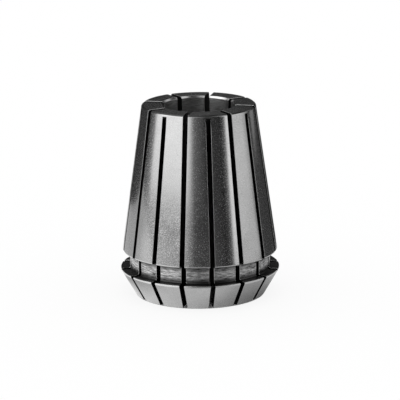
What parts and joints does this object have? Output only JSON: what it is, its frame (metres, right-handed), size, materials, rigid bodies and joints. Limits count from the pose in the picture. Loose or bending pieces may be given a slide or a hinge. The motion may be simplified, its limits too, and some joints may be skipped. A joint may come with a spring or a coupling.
{
  "type": "spring collet",
  "caption": "Slotted steel spring collet with a long outer taper, a grooved head with a nut cone, and a straight clamping bore.",
  "frame": {"origin": "centre of the front face, the wide end where the tool shank goes in, which the collet stands on", "axes": "+Z along the bore axis from the front face to the small rear end; +X and +Y each pass through the middle of a land between two slots"},
  "size_m": [0.033, 0.033, 0.04],
  "materials": {
    "hardened_steel": "ground spring steel, fine circular grinding lines on the tapers, turned in the groove"
  },
  "bodies": {
    "root": {"collet": "hardened_steel"}
  },
  "joints": []
}
